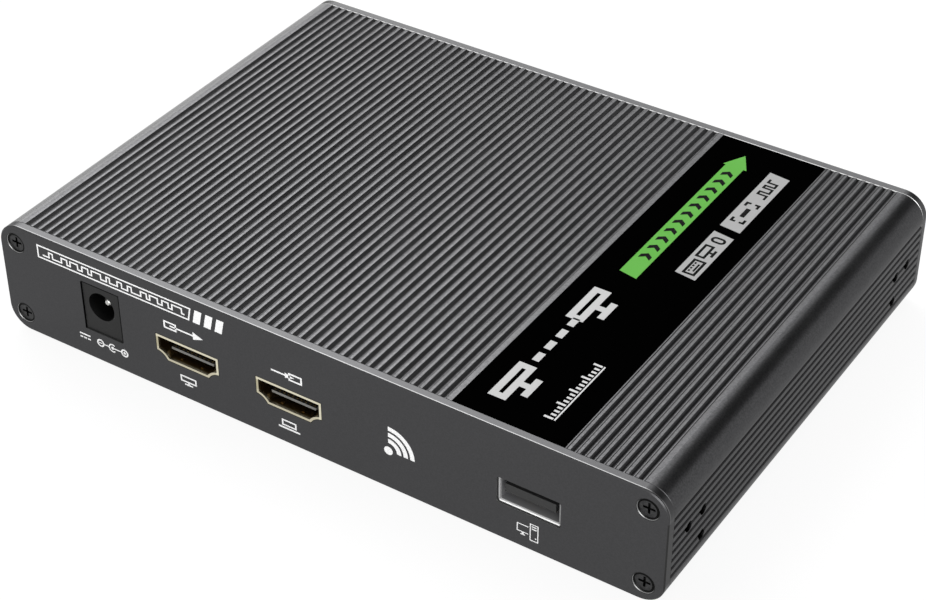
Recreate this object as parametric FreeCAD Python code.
import FreeCAD, Part
import math
import os

# A finned aluminium box that sends screen, keyboard and mouse signals down a network cable.
# Sizes are in millimetres. X runs along the port panel, which faces -Y, and Z is up.
# The origin is the centre of the flat underside.

# Casing
body_width = 150.0
body_depth = 106.5
body_height = 25.2
corner_radius = 5.0
plate_thickness = 1.9
plate_bevel = 0.25
tube_end_bevel = 0.15
wall = 2.0

# Grooves along the top of the tube: a steep left wall, then two slopes up to the next fin
groove_pitch = 1.904
groove_steep_width = 0.45
groove_slant_width = 0.45
groove_ease_width = 0.5
groove_depth = 0.4
groove_ease_depth = 0.15
plain_top_border = 6.0
groove_row_shift = -0.22

# Grooves along both sides of the tube
side_groove_count = 8
side_groove_pitch = 1.89
side_groove_mouth = 0.95
side_groove_depth = 0.6

# Label sunk between the top grooves
label_left = 30.08
label_width = 23.25
label_seat_depth = 0.3
label_thickness = 0.2
label_gap = 0.05
label_shoulder = 0.8

# Plate screws at the corners: countersunk heads with a cross recess, sunk below the plate's face
screw_inset_x = 4.12
screw_inset_z = 4.06
screw_length = 8.0
thread_radius = 1.25
thread_gap = 0.05
head_radius = 1.9
head_sink = 0.42
shank_gap = 0.1
screw_block_margin = 2.3
cross_length = 2.4
cross_width = 0.5
cross_depth = 0.8

# Tapped side holes for wall brackets, an L of three at each end of each side
bracket_hole_radius = 1.1
bracket_near_y = 40.2
bracket_far_y = 45.5
bracket_above_middle = 0.75
bracket_drop = 5.9
bracket_hole_depth = 5.0

# Circuit board, held by its edges in two rails
board_below_middle = 5.4
board_thickness = 1.6
board_end_gap = 0.5
board_side_gap = 0.2
rail_grip = 1.6
rail_thickness = 1.0
rail_gap = 0.1

# Power jack
power_x = -50.0
power_width = 9.0
power_height = 11.0
power_flange = 3.5
power_length = 14.0
power_axis_above_board = 6.6
power_bore_radius = 3.175
power_bore_depth = 10.0
power_barrel_wall = 0.9
power_pin_radius = 1.0
power_pin_recess = 1.9
power_pin_bevel = 0.5
power_recess = 0.25
power_cutout_gap = 0.2
power_spring_width = 2.0
power_spring_thickness = 0.3
power_spring_gap = 0.15
terminal_width = 1.6
terminal_thickness = 0.5
terminal_gap = 0.1

# Video sockets: a wide top, upright sides and hollow lower corners
video_out_x = -28.9
video_in_x = -4.9
video_opening_width = 14.0
video_opening_height = 4.55
video_side_height = 2.95
video_floor_width = 9.4
video_corner_hollow = 0.2
video_above_board = 1.15
video_lip = 0.5
video_lip_depth = 0.6
video_shell = 0.35
video_length = 11.5
video_back = 2.0
video_tongue_width = 10.2
video_tongue_thickness = 0.6
video_tongue_above_floor = 1.25
video_tongue_recess = 1.55
video_cutout_gap = 0.12
video_contact_width = 0.4
video_contact_thickness = 0.12
video_contact_pitch = 1.0
video_upper_contacts = 10
video_leg_length = 1.6
video_spring_spacing = 4.9
video_spring_recess = 1.1
video_spring_width = 0.5
video_spring_length = 0.5
video_spring_rise = 0.15

# Serial data socket
usb_x = 47.4
usb_width = 12.9
usb_height = 5.7
usb_above_board = 1.1
usb_shell_thickness = 0.35
usb_corner = 0.5
usb_length = 13.5
usb_recess = 0.5
usb_cutout_gap = 0.2
usb_back = 2.5
usb_tongue_width = 10.5
usb_tongue_thickness = 1.85
usb_tongue_above_floor = 2.15
usb_tongue_recess = 0.25
usb_contact_width = 1.0
usb_contact_thickness = 0.2
usb_contact_offsets = (-3.5, -1.0, 1.0, 3.5)
usb_leg_length = 2.4

# Network jack in the rear plate, with two lamps above the plug's opening
network_x = 34.0
network_width = 16.0
network_height = 13.4
network_length = 21.0
network_recess = 0.2
network_sheet = 0.3
network_cutout_gap = 0.2
network_opening_width = 11.9
network_opening_height = 7.0
network_opening_depth = 13.0
network_opening_above_board = 2.4
network_latch_width = 6.3
network_latch_height = 1.5
network_contact_count = 8
network_contact_pitch = 1.02
network_contact_width = 0.4
network_contact_drop = 1.9
network_lamp_width = 3.2
network_lamp_height = 2.0
network_lamp_depth = 6.0
network_lamp_edge = 1.2

# Status lamps in the rear plate
status_x = 10.0
status_pitch = 6.0
status_width = 3.2
status_thickness = 1.8
status_gap = 0.1
status_above_board = 5.8
status_guide_length = 10.0
status_foot = 2.0
status_emitter_height = 0.8

# Parts on the board
processor_x = 20.0
processor_y = -8.0
processor_size = 17.0
receiver_x = -17.0
receiver_y = -22.0
receiver_size = 12.0
hub_x = 47.0
hub_y = -22.0
hub_size = 8.0
chip_height = 1.2
chip_step = 0.8
chip_base_share = 0.4
sink_size = 22.0
sink_base = 2.0
sink_fin_height = 8.0
sink_fin_count = 8
sink_fin_thickness = 1.0
pad_thickness = 0.5
memory_x = -6.0
memory_y = -8.0
memory_pitch = 14.0
memory_width = 8.0
memory_length = 12.0
lead_width = 0.45
lead_reach = 1.0
lead_thickness = 0.2
lead_pitch = 1.27
transformer_x = 34.0
transformer_jack_gap = 8.8
transformer_width = 13.0
transformer_length = 10.0
transformer_height = 5.5
inductor_edge_gap = 16.3
inductor_y = -18.0
inductor_pitch = 13.0
inductor_size = 7.0
inductor_height = 3.6
can_edge_gap = 8.3
can_y = -24.0
can_pitch = 14.0
can_radius = 3.15
can_height = 7.7
can_base = 0.8
can_base_margin = 0.2
can_count = 2
regulator_x = -38.0
regulator_y = 6.0
regulator_pitch = 13.0
regulator_size = 5.0
crystal_x = 5.0
crystal_y = 14.0
crystal_pitch = 14.0
crystal_length = 8.0
crystal_width = 3.2
crystal_height = 1.6
ceramic_count = 12
ceramic_pitch = 4.0
ceramic_length = 2.0
ceramic_width = 1.25
ceramic_y = 30.0

# Places worked out from the sizes above
front_y = -body_depth / 2
rear_y = body_depth / 2
tube_front_y = front_y + plate_thickness
tube_rear_y = rear_y - plate_thickness
screw_x = body_width / 2 - screw_inset_x
screw_low_z = screw_inset_z
screw_high_z = body_height - screw_inset_z
inner_x = body_width / 2 - wall
inner_top_z = body_height - wall
board_top = body_height / 2 - board_below_middle
board_bottom = board_top - board_thickness
board_half_width = screw_x - screw_block_margin - board_side_gap
board_front_y = tube_front_y + board_end_gap
board_rear_y = tube_rear_y - board_end_gap
power_axis_z = board_top + power_axis_above_board
status_axis_z = board_top + status_above_board
video_floor_z = board_top + video_above_board
usb_floor_z = board_top + usb_above_board
inductor_x = inductor_edge_gap - board_half_width
can_x = can_edge_gap - board_half_width
transformer_y = rear_y - network_recess - network_length - transformer_jack_gap - transformer_length / 2
groove_mouth = groove_steep_width + groove_slant_width + groove_ease_width
over = 1.0

os.makedirs("parts", exist_ok=True)


def vec(x, y, z):
    return FreeCAD.Vector(x, y, z)


def box(x0, x1, y0, y1, z0, z1):
    return Part.makeBox(x1 - x0, y1 - y0, z1 - z0, vec(x0, y0, z0))


def block(cx, cy, z0, width, length, height):
    """A box centred on (cx, cy) that stands on z0."""
    return box(cx - width / 2, cx + width / 2, cy - length / 2, cy + length / 2, z0, z0 + height)


def rod_y(radius, x, z, y0, y1):
    return Part.makeCylinder(radius, y1 - y0, vec(x, y0, z), vec(0, 1, 0))


def prism_y(points, y0, y1):
    """A closed outline of (x, z) points, drawn at y0 and pushed to y1."""
    corners = [vec(x, y0, z) for x, z in points]
    return Part.Face(Part.makePolygon(corners + corners[:1])).extrude(vec(0, y1 - y0, 0))


def fuse(shapes):
    joined = shapes[0].fuse(shapes[1:]) if len(shapes) > 1 else shapes[0]
    return joined.removeSplitter()


def edges_at_y(shape, y):
    """Edges that lie wholly in the plane at y."""
    found = []
    for edge in shape.Edges:
        reach = edge.BoundBox
        if abs(reach.YMin - y) < 1e-6 and abs(reach.YMax - y) < 1e-6:
            found.append(edge)
    return found


def edges_along_y(shape):
    return [edge for edge in shape.Edges if edge.BoundBox.YLength > 1e-6]


def rounded_bar(x0, x1, y0, y1, z0, z1, radius):
    """A bar along Y with four rounded corners."""
    bar = box(x0, x1, y0, y1, z0, z1)
    return bar.makeFillet(radius, edges_along_y(bar))


def casing_slice(y0, y1, bevel, bevelled_ends):
    """A length of the outer form, with a bevel round each end that shows."""
    half = body_width / 2
    bar = rounded_bar(-half, half, y0, y1, 0, body_height, corner_radius)
    rims = [edge for y in bevelled_ends for edge in edges_at_y(bar, y)]
    return bar.makeChamfer(bevel, rims)


def export(shape, node):
    shape.exportStep("parts/" + node + ".step")


def corner_points():
    return [(sx * screw_x, z) for sx in (-1, 1) for z in (screw_low_z, screw_high_z)]


def top_groove_outline(centre):
    """Outline of one top groove as (x, z) points, open upwards."""
    left = centre - groove_mouth / 2
    right = centre + groove_mouth / 2
    z = body_height
    return [(left, z + over), (left, z), (left + groove_steep_width, z - groove_depth),
            (right - groove_ease_width, z - groove_ease_depth), (right, z), (right, z + over)]


def side_groove_outline(centre, side):
    """Outline of one V groove in a side as (x, z) points, open outwards."""
    half = side_groove_mouth / 2
    face_x = side * body_width / 2
    out_x = face_x + side * over
    return [(out_x, centre - half), (face_x, centre - half), (face_x - side * side_groove_depth, centre),
            (face_x, centre + half), (out_x, centre + half)]


def top_groove_centres():
    count = int((body_width - 2 * plain_top_border) / groove_pitch) + 1
    first = -(count - 1) * groove_pitch / 2 + groove_row_shift
    keep_left = label_left - label_shoulder - groove_mouth / 2
    keep_right = label_left + label_width + label_shoulder + groove_mouth / 2
    centres = [first + i * groove_pitch for i in range(count)]
    return [c for c in centres if c < keep_left or c > keep_right]


def side_groove_centres():
    first = body_height / 2 - (side_groove_count - 1) * side_groove_pitch / 2
    return [first + i * side_groove_pitch for i in range(side_groove_count)]


def groove_tools():
    y0 = tube_front_y - over
    y1 = tube_rear_y + over
    outlines = [top_groove_outline(c) for c in top_groove_centres()]
    for side in (-1, 1):
        outlines += [side_groove_outline(c, side) for c in side_groove_centres()]
    return [prism_y(outline, y0, y1) for outline in outlines]


def tube_hollow():
    """The space inside the tube: what is left beside the screw blocks and board rails."""
    y0 = tube_front_y - over
    y1 = tube_rear_y + over
    hollow = box(-inner_x, inner_x, y0, y1, wall, inner_top_z)
    m = screw_block_margin
    kept = []
    for x, z in corner_points():
        x0, x1 = sorted((x - math.copysign(m, x), math.copysign(inner_x + over, x)))
        z0, z1 = (0, z + m) if z < body_height / 2 else (z - m, body_height)
        kept.append(box(x0, x1, y0, y1, z0, z1))
    rail_x = board_half_width - rail_grip
    upper_z = board_top + rail_gap
    for side in (-1, 1):
        x0, x1 = sorted((side * rail_x, side * (inner_x + over)))
        kept.append(box(x0, x1, y0, y1, board_bottom - rail_thickness, board_bottom))
        kept.append(box(x0, x1, y0, y1, upper_z, upper_z + rail_thickness))
    return hollow.cut(kept)


def bracket_holes():
    tools = []
    near = bracket_near_y
    far = bracket_far_y
    high_z = body_height / 2 + bracket_above_middle
    low_z = high_z - bracket_drop
    for side in (-1, 1):
        for end in (-1, 1):
            for y, z in ((near, high_z), (far, high_z), (near, low_z)):
                start = vec(side * (body_width / 2 + over), end * y, z)
                depth = bracket_hole_depth + over
                tools.append(Part.makeCylinder(bracket_hole_radius, depth, start, vec(-side, 0, 0)))
    return tools


def housing_tube():
    tube = casing_slice(tube_front_y, tube_rear_y, tube_end_bevel, [tube_front_y])
    tube = tube.cut(tube_hollow())
    seat_z = body_height - label_seat_depth
    y0 = tube_front_y - over
    y1 = tube_rear_y + over
    seat = box(label_left, label_left + label_width, y0, y1, seat_z, body_height + over)
    pilots = [rod_y(thread_radius + thread_gap, x, z, y0, y1) for x, z in corner_points()]
    return tube.cut(groove_tools() + [seat] + pilots + bracket_holes())


def label_sheet():
    z0 = body_height - label_seat_depth
    return box(label_left + label_gap, label_left + label_width - label_gap, tube_front_y, tube_rear_y,
               z0, z0 + label_thickness)


def screw_sinks(face_y, inward):
    """Countersunk holes for the four screws of one plate; a 45 degree cone seats each sunk head."""
    tools = []
    along = vec(0, inward, 0)
    hole_radius = thread_radius + shank_gap
    mouth_radius = head_radius + head_sink
    for x, z in corner_points():
        start = vec(x, face_y - inward * over, z)
        wide = mouth_radius + over
        tools.append(Part.makeCone(wide, hole_radius, wide - hole_radius, start, along))
        tools.append(Part.makeCylinder(hole_radius, plate_thickness + 2 * over, start, along))
    return tools


def plate_screws(face_y, inward):
    screws = []
    along = vec(0, inward, 0)
    cone_depth = head_radius - thread_radius
    head_y = face_y + inward * head_sink
    long = cross_length / 2
    short = cross_width / 2
    for x, z in corner_points():
        top = vec(x, head_y, z)
        head = Part.makeCone(head_radius, thread_radius, cone_depth, top, along)
        shank = Part.makeCylinder(thread_radius, screw_length - cone_depth, top + along * cone_depth, along)
        y0, y1 = sorted((head_y - inward * over, head_y + inward * cross_depth))
        cross = [box(x - dx, x + dx, y0, y1, z - dz, z + dz) for dx, dz in ((long, short), (short, long))]
        screws.append(fuse([head, shank]).cut(cross))
    return Part.makeCompound(screws)


def video_outline(y, centre_x):
    """The socket's mating opening as a wire at y, with hollow lower corners."""
    half_top = video_opening_width / 2
    half_floor = video_floor_width / 2
    top_z = video_floor_z + video_opening_height
    knee_z = top_z - video_side_height
    mid_x = (half_top + half_floor) / 2 - video_corner_hollow
    mid_z = (knee_z + video_floor_z) / 2 + video_corner_hollow
    ring = [(-half_top, top_z), (half_top, top_z), (half_top, knee_z), (half_floor, video_floor_z),
            (-half_floor, video_floor_z), (-half_top, knee_z)]
    p = [vec(centre_x + x, y, z) for x, z in ring]
    edges = [Part.LineSegment(p[0], p[1]).toShape(),
             Part.LineSegment(p[1], p[2]).toShape(),
             Part.Arc(p[2], vec(centre_x + mid_x, y, mid_z), p[3]).toShape(),
             Part.LineSegment(p[3], p[4]).toShape(),
             Part.Arc(p[4], vec(centre_x - mid_x, y, mid_z), p[5]).toShape(),
             Part.LineSegment(p[5], p[0]).toShape()]
    return Part.Wire(edges)


def video_bar(centre_x, y0, y1, grow):
    """The opening's outline grown by a margin and pushed from y0 to y1."""
    wire = video_outline(y0, centre_x)
    if grow:
        wire = wire.makeOffset2D(grow, 2)
    return Part.Face(wire).extrude(vec(0, y1 - y0, 0))


def video_shell_shape(centre_x):
    y1 = front_y + video_length
    lip = video_bar(centre_x, front_y, front_y + video_lip_depth, video_lip)
    sleeve = video_bar(centre_x, front_y, y1, video_shell)
    shell = lip.fuse([sleeve]).cut([video_bar(centre_x, front_y - over, y1 + over, 0)])
    side_x = video_opening_width / 2
    knee_z = video_floor_z + video_opening_height - video_side_height
    legs = []
    for side in (-1, 1):
        for y in (board_front_y + over, y1 - video_leg_length - over):
            x0, x1 = sorted((centre_x + side * side_x, centre_x + side * (side_x + video_shell)))
            legs.append(box(x0, x1, y, y + video_leg_length, board_top, knee_z + over))
    return fuse([shell] + legs + video_springs(centre_x))


def video_springs(centre_x):
    """Two small bumps on the socket's floor that grip a plug."""
    y = front_y + video_spring_recess + video_spring_length / 2
    places = [centre_x + side * video_spring_spacing / 2 for side in (-1, 1)]
    return [block(x, y, video_floor_z - video_shell / 2, video_spring_width, video_spring_length,
                  video_shell / 2 + video_spring_rise) for x in places]


def video_insulator(centre_x):
    y1 = front_y + video_length
    back = video_bar(centre_x, y1 - video_back, y1, 0)
    z0 = video_floor_z + video_tongue_above_floor
    tongue = box(centre_x - video_tongue_width / 2, centre_x + video_tongue_width / 2,
                 front_y + video_tongue_recess, y1 - video_back, z0, z0 + video_tongue_thickness)
    return fuse([back, tongue])


def video_contacts(centre_x):
    """Upper and lower rows of contact strips, lying on the tongue."""
    strips = []
    low = video_floor_z + video_tongue_above_floor
    high = low + video_tongue_thickness
    y0 = front_y + video_tongue_recess + video_contact_width
    y1 = front_y + video_length - video_back
    rows = [(video_upper_contacts, high, high + video_contact_thickness),
            (video_upper_contacts - 1, low - video_contact_thickness, low)]
    for count, z0, z1 in rows:
        first = centre_x - (count - 1) * video_contact_pitch / 2
        for i in range(count):
            x = first + i * video_contact_pitch
            strips.append(box(x - video_contact_width / 2, x + video_contact_width / 2, y0, y1, z0, z1))
    return Part.makeCompound(strips)


def power_jack_body():
    y0 = front_y + power_recess
    y1 = y0 + power_length
    half = power_width / 2
    flange = box(power_x - half, power_x + half, y0, y0 + power_flange, board_top, board_top + power_height)
    foot = box(power_x - half, power_x + half, y0, y1, board_top, power_axis_z - power_bore_radius)
    barrel_half = power_bore_radius + power_barrel_wall
    barrel = box(power_x - barrel_half, power_x + barrel_half, y0, y1, board_top, power_axis_z + barrel_half)
    body = fuse([flange, foot, barrel])
    bore = rod_y(power_bore_radius, power_x, power_axis_z, y0 - over, y0 + power_bore_depth)
    pin_seat = rod_y(power_pin_radius, power_x, power_axis_z, y0, y1 + over)
    return body.cut([bore, pin_seat] + power_spring_room())


def power_spring_room():
    half = power_spring_width / 2 + power_spring_gap
    y0 = front_y + power_recess + power_flange
    y1 = front_y + power_recess + power_bore_depth
    top = power_axis_z - power_bore_radius + power_spring_thickness
    room_bottom = top - power_spring_thickness - power_spring_gap - power_spring_thickness
    slot = box(power_x - half, power_x + half, y0, y1, room_bottom, top)
    blade_half = terminal_width / 2
    drop = box(power_x - blade_half, power_x + blade_half, y1 - terminal_thickness, y1, board_top - over, top)
    return [slot, drop]


def power_jack_pin():
    y0 = front_y + power_pin_recess
    y1 = front_y + power_recess + power_length
    pin = rod_y(power_pin_radius, power_x, power_axis_z, y0, y1)
    pin = pin.makeChamfer(power_pin_bevel, edges_at_y(pin, y0))
    blade_z0 = board_bottom - over
    blade = block(power_x, y1 + terminal_thickness / 2, blade_z0, terminal_width, terminal_thickness,
                  power_axis_z + power_pin_radius - blade_z0)
    return fuse([pin, blade])


def power_jack_spring():
    """Leaf that presses on the plug's outside, with its blade down through the board."""
    y0 = front_y + power_recess + power_flange + power_spring_gap
    y1 = front_y + power_recess + power_bore_depth
    z1 = power_axis_z - power_bore_radius
    half = power_spring_width / 2
    leaf = box(power_x - half, power_x + half, y0, y1, z1 - power_spring_thickness, z1)
    blade_half = terminal_width / 2
    blade = box(power_x - blade_half, power_x + blade_half, y1 - terminal_thickness, y1,
                board_bottom - over, z1)
    return fuse([leaf, blade])


def terminal_slots():
    """Slots in the board for the two blades of the power jack."""
    y_pin = front_y + power_recess + power_length + terminal_thickness / 2
    y_spring = front_y + power_recess + power_bore_depth - terminal_thickness / 2
    slots = []
    for y in (y_pin, y_spring):
        slots.append(block(power_x, y, board_bottom - over, terminal_width + 2 * terminal_gap,
                           terminal_thickness + 2 * terminal_gap, board_thickness + 2 * over))
    return slots


def usb_bar(y0, y1, shrink):
    half = usb_width / 2 - shrink
    z0 = usb_floor_z + shrink
    z1 = usb_floor_z + usb_height - shrink
    if shrink >= usb_shell_thickness:
        return box(usb_x - half, usb_x + half, y0, y1, z0, z1)
    return rounded_bar(usb_x - half, usb_x + half, y0, y1, z0, z1, usb_corner - shrink)


def usb_shell():
    y0 = front_y + usb_recess
    y1 = y0 + usb_length
    shell = usb_bar(y0, y1, 0).cut([usb_bar(y0 - over, y1 + over, usb_shell_thickness)])
    half = usb_width / 2
    legs = []
    for side in (-1, 1):
        for y in (board_front_y + over, y1 - usb_leg_length - over):
            x0, x1 = sorted((usb_x + side * half, usb_x + side * (half - usb_shell_thickness)))
            legs.append(box(x0, x1, y, y + usb_leg_length, board_top, usb_floor_z + usb_corner + over))
    return fuse([shell] + legs)


def usb_insulator():
    y1 = front_y + usb_recess + usb_length
    back = usb_bar(y1 - usb_back, y1, usb_shell_thickness)
    z0 = usb_floor_z + usb_shell_thickness + usb_tongue_above_floor
    half = usb_tongue_width / 2
    tongue = box(usb_x - half, usb_x + half, front_y + usb_recess + usb_tongue_recess, y1 - usb_back,
                 z0, z0 + usb_tongue_thickness)
    return fuse([back, tongue])


def usb_contacts():
    z1 = usb_floor_z + usb_shell_thickness + usb_tongue_above_floor
    y0 = front_y + usb_recess + usb_tongue_recess + usb_contact_width
    y1 = front_y + usb_recess + usb_length - usb_back
    z0 = z1 - usb_contact_thickness
    half = usb_contact_width / 2
    return Part.makeCompound([box(usb_x + dx - half, usb_x + dx + half, y0, y1, z0, z1)
                              for dx in usb_contact_offsets])


def network_span():
    """Front and back of the network jack, whose mouth is at the rear plate."""
    mouth = rear_y - network_recess
    return mouth - network_length, mouth


def network_shield():
    y0, y1 = network_span()
    half = network_width / 2
    top = board_top + network_height
    outer = box(network_x - half, network_x + half, y0, y1, board_top, top)
    t = network_sheet
    inner = box(network_x - half + t, network_x + half - t, y0 + t, y1 + over, board_top - over, top - t)
    return outer.cut([inner])


def network_cavity(y_end):
    y1 = network_span()[1]
    half = network_opening_width / 2
    z0 = board_top + network_opening_above_board
    z1 = z0 + network_opening_height
    main = box(network_x - half, network_x + half, y1 - network_opening_depth, y_end, z0, z1)
    half_latch = network_latch_width / 2
    latch = box(network_x - half_latch, network_x + half_latch, y1 - network_opening_depth, y_end,
                z0 - network_latch_height, z0)
    return [main, latch]


def network_lamp_boxes():
    y1 = network_span()[1]
    top = board_top + network_height - network_sheet - network_lamp_edge
    boxes = []
    half = network_lamp_width / 2
    reach = network_width / 2 - network_sheet - network_lamp_edge - half
    for x in (network_x - reach, network_x + reach):
        boxes.append(box(x - half, x + half, y1 - network_lamp_depth, y1, top - network_lamp_height, top))
    return boxes


def network_insert():
    y0, y1 = network_span()
    half = network_width / 2 - network_sheet
    top = board_top + network_height - network_sheet
    core = box(network_x - half, network_x + half, y0 + network_sheet, y1, board_top, top)
    return core.cut(network_cavity(y1 + over) + network_lamp_boxes())


def network_contacts():
    """Eight springy wires that slope down from the roof of the plug's opening."""
    y1 = network_span()[1]
    roof = board_top + network_opening_above_board + network_opening_height
    near = y1 - network_opening_depth * 0.3
    far = y1 - network_opening_depth
    t = network_contact_width
    wires = []
    first = network_x - (network_contact_count - 1) * network_contact_pitch / 2
    outline = [(near, roof), (far, roof - network_contact_drop), (far, roof - network_contact_drop - t),
               (near + t, roof - t), (near + t, roof)]
    for i in range(network_contact_count):
        x = first + i * network_contact_pitch - network_contact_width / 2
        corners = [vec(x, y, z) for y, z in outline]
        face = Part.Face(Part.makePolygon(corners + corners[:1]))
        wires.append(face.extrude(vec(network_contact_width, 0, 0)))
    return Part.makeCompound(wires)


def status_places():
    return [status_x, status_x + status_pitch]


def status_bar(x, y0, y1, grow):
    half = status_width / 2 + grow
    rise = status_thickness / 2 + grow
    return box(x - half, x + half, y0, y1, status_axis_z - rise, status_axis_z + rise)


def status_guides():
    """Clear bars that carry light from the board out through the rear plate."""
    guides = []
    foot_z = board_top + status_emitter_height
    for x in status_places():
        bar = status_bar(x, rear_y - status_guide_length, rear_y, 0)
        y = rear_y - status_guide_length + status_foot / 2
        foot = block(x, y, foot_z, status_foot, status_foot, status_axis_z - foot_z)
        guides.append(fuse([bar, foot]))
    return Part.makeCompound(guides)


def status_emitters():
    y = rear_y - status_guide_length + status_foot / 2
    return Part.makeCompound([block(x, y, board_top, status_foot, status_foot, status_emitter_height)
                              for x in status_places()])


def front_plate():
    plate = casing_slice(front_y, tube_front_y, plate_bevel, [front_y])
    y0 = front_y - over
    y1 = tube_front_y + over
    half = power_width / 2 + power_cutout_gap
    power = box(power_x - half, power_x + half, y0, y1, board_top - power_cutout_gap,
                board_top + power_height + power_cutout_gap)
    video = [video_bar(x, y0, y1, video_lip + video_cutout_gap) for x in (video_out_x, video_in_x)]
    usb = usb_bar(y0, y1, -usb_cutout_gap)
    return plate.cut([power, usb] + video + screw_sinks(front_y, 1))


def rear_plate():
    plate = casing_slice(tube_rear_y, rear_y, plate_bevel, [tube_rear_y, rear_y])
    y0 = tube_rear_y - over
    y1 = rear_y + over
    half = network_width / 2 + network_cutout_gap
    network = box(network_x - half, network_x + half, y0, y1, board_top - network_cutout_gap,
                  board_top + network_height + network_cutout_gap)
    lamps = [status_bar(x, y0, y1, status_gap) for x in status_places()]
    return plate.cut([network] + lamps + screw_sinks(rear_y, -1))


def main_board():
    board = box(-board_half_width, board_half_width, board_front_y, board_rear_y, board_bottom, board_top)
    return board.cut(terminal_slots())


def stepped_chip(cx, cy, width, length, height):
    """A leadless package: a thin base with a smaller cap."""
    base = block(cx, cy, board_top, width, length, height * chip_base_share)
    cap = block(cx, cy, board_top, width - chip_step, length - chip_step, height)
    return fuse([base, cap])


def memory_chips():
    return Part.makeCompound([stepped_chip(memory_x, memory_y + i * memory_pitch, memory_width, memory_length,
                                           chip_height) for i in range(2)])


def leaded_chip(cx, cy, width, length, height):
    """A moulded body with a row of flat leads on each long side."""
    body = block(cx, cy, board_top, width, length, height)
    count = int((length - lead_pitch) / lead_pitch)
    first = cy - (count - 1) * lead_pitch / 2
    leads = [block(cx, first + i * lead_pitch, board_top, width + 2 * lead_reach, lead_width, lead_thickness)
             for i in range(count)]
    return fuse([body] + leads)


def heatsink():
    z0 = board_top + chip_height + pad_thickness
    base = block(processor_x, processor_y, z0, sink_size, sink_size, sink_base)
    step = (sink_size - sink_fin_thickness) / (sink_fin_count - 1)
    first = processor_x - sink_size / 2 + sink_fin_thickness / 2
    fin_height = sink_base + sink_fin_height
    fins = [block(first + i * step, processor_y, z0, sink_fin_thickness, sink_size, fin_height)
            for i in range(sink_fin_count)]
    return fuse([base] + fins)


def thermal_pad():
    size = processor_size - chip_step
    return block(processor_x, processor_y, board_top + chip_height, size, size, pad_thickness)


def inductors():
    shapes = []
    for i in range(2):
        body = block(inductor_x, inductor_y + i * inductor_pitch, board_top, inductor_size, inductor_size,
                     inductor_height)
        upright = [edge for edge in body.Edges if edge.BoundBox.ZLength > inductor_height / 2]
        shapes.append(body.makeChamfer(inductor_size / 7, upright))
    return Part.makeCompound(shapes)


def capacitor_cans():
    shapes = []
    for i in range(can_count):
        y = can_y + i * can_pitch
        side = 2 * (can_radius + can_base_margin)
        base = block(can_x, y, board_top, side, side, can_base)
        can = Part.makeCylinder(can_radius, can_height, vec(can_x, y, board_top))
        shapes.append(fuse([base, can]))
    return Part.makeCompound(shapes)


def crystals():
    places = [crystal_x, crystal_x + crystal_pitch]
    return Part.makeCompound([stepped_chip(x, crystal_y, crystal_length, crystal_width, crystal_height)
                              for x in places])


def ceramic_capacitors():
    first = -(ceramic_count - 1) * ceramic_pitch / 2 - ceramic_pitch * 4
    return Part.makeCompound([block(first + i * ceramic_pitch, ceramic_y, board_top, ceramic_width,
                                    ceramic_length, ceramic_width) for i in range(ceramic_count)])


nodes = {
    "housing_tube": housing_tube(),
    "front_plate": front_plate(),
    "rear_plate": rear_plate(),
    "front_plate_screws": plate_screws(front_y, 1),
    "rear_plate_screws": plate_screws(rear_y, -1),
    "top_label": label_sheet(),
    "main_board": main_board(),
    "power_jack_body": power_jack_body(),
    "power_jack_pin": power_jack_pin(),
    "power_jack_spring": power_jack_spring(),
    "video_out_shell": video_shell_shape(video_out_x),
    "video_out_insulator": video_insulator(video_out_x),
    "video_out_contacts": video_contacts(video_out_x),
    "video_in_shell": video_shell_shape(video_in_x),
    "video_in_insulator": video_insulator(video_in_x),
    "video_in_contacts": video_contacts(video_in_x),
    "usb_shell": usb_shell(),
    "usb_insulator": usb_insulator(),
    "usb_contacts": usb_contacts(),
    "network_jack_shield": network_shield(),
    "network_jack_insert": network_insert(),
    "network_jack_contacts": network_contacts(),
    "network_jack_lamps": Part.makeCompound(network_lamp_boxes()),
    "status_light_guides": status_guides(),
    "status_light_emitters": status_emitters(),
    "link_processor": stepped_chip(processor_x, processor_y, processor_size, processor_size, chip_height),
    "thermal_pad": thermal_pad(),
    "processor_heatsink": heatsink(),
    "video_receiver_chip": stepped_chip(receiver_x, receiver_y, receiver_size, receiver_size, chip_height),
    "usb_hub_chip": stepped_chip(hub_x, hub_y, hub_size, hub_size, chip_height),
    "memory_chips": memory_chips(),
    "line_transformer": leaded_chip(transformer_x, transformer_y, transformer_width, transformer_length,
                                    transformer_height),
    "power_inductors": inductors(),
    "capacitor_cans": capacitor_cans(),
    "regulator_chips": Part.makeCompound([leaded_chip(regulator_x, regulator_y + i * regulator_pitch,
                                                      regulator_size, regulator_size, chip_height)
                                          for i in range(2)]),
    "clock_crystals": crystals(),
    "ceramic_capacitors": ceramic_capacitors(),
}

for name, shape in nodes.items():
    export(shape, name)
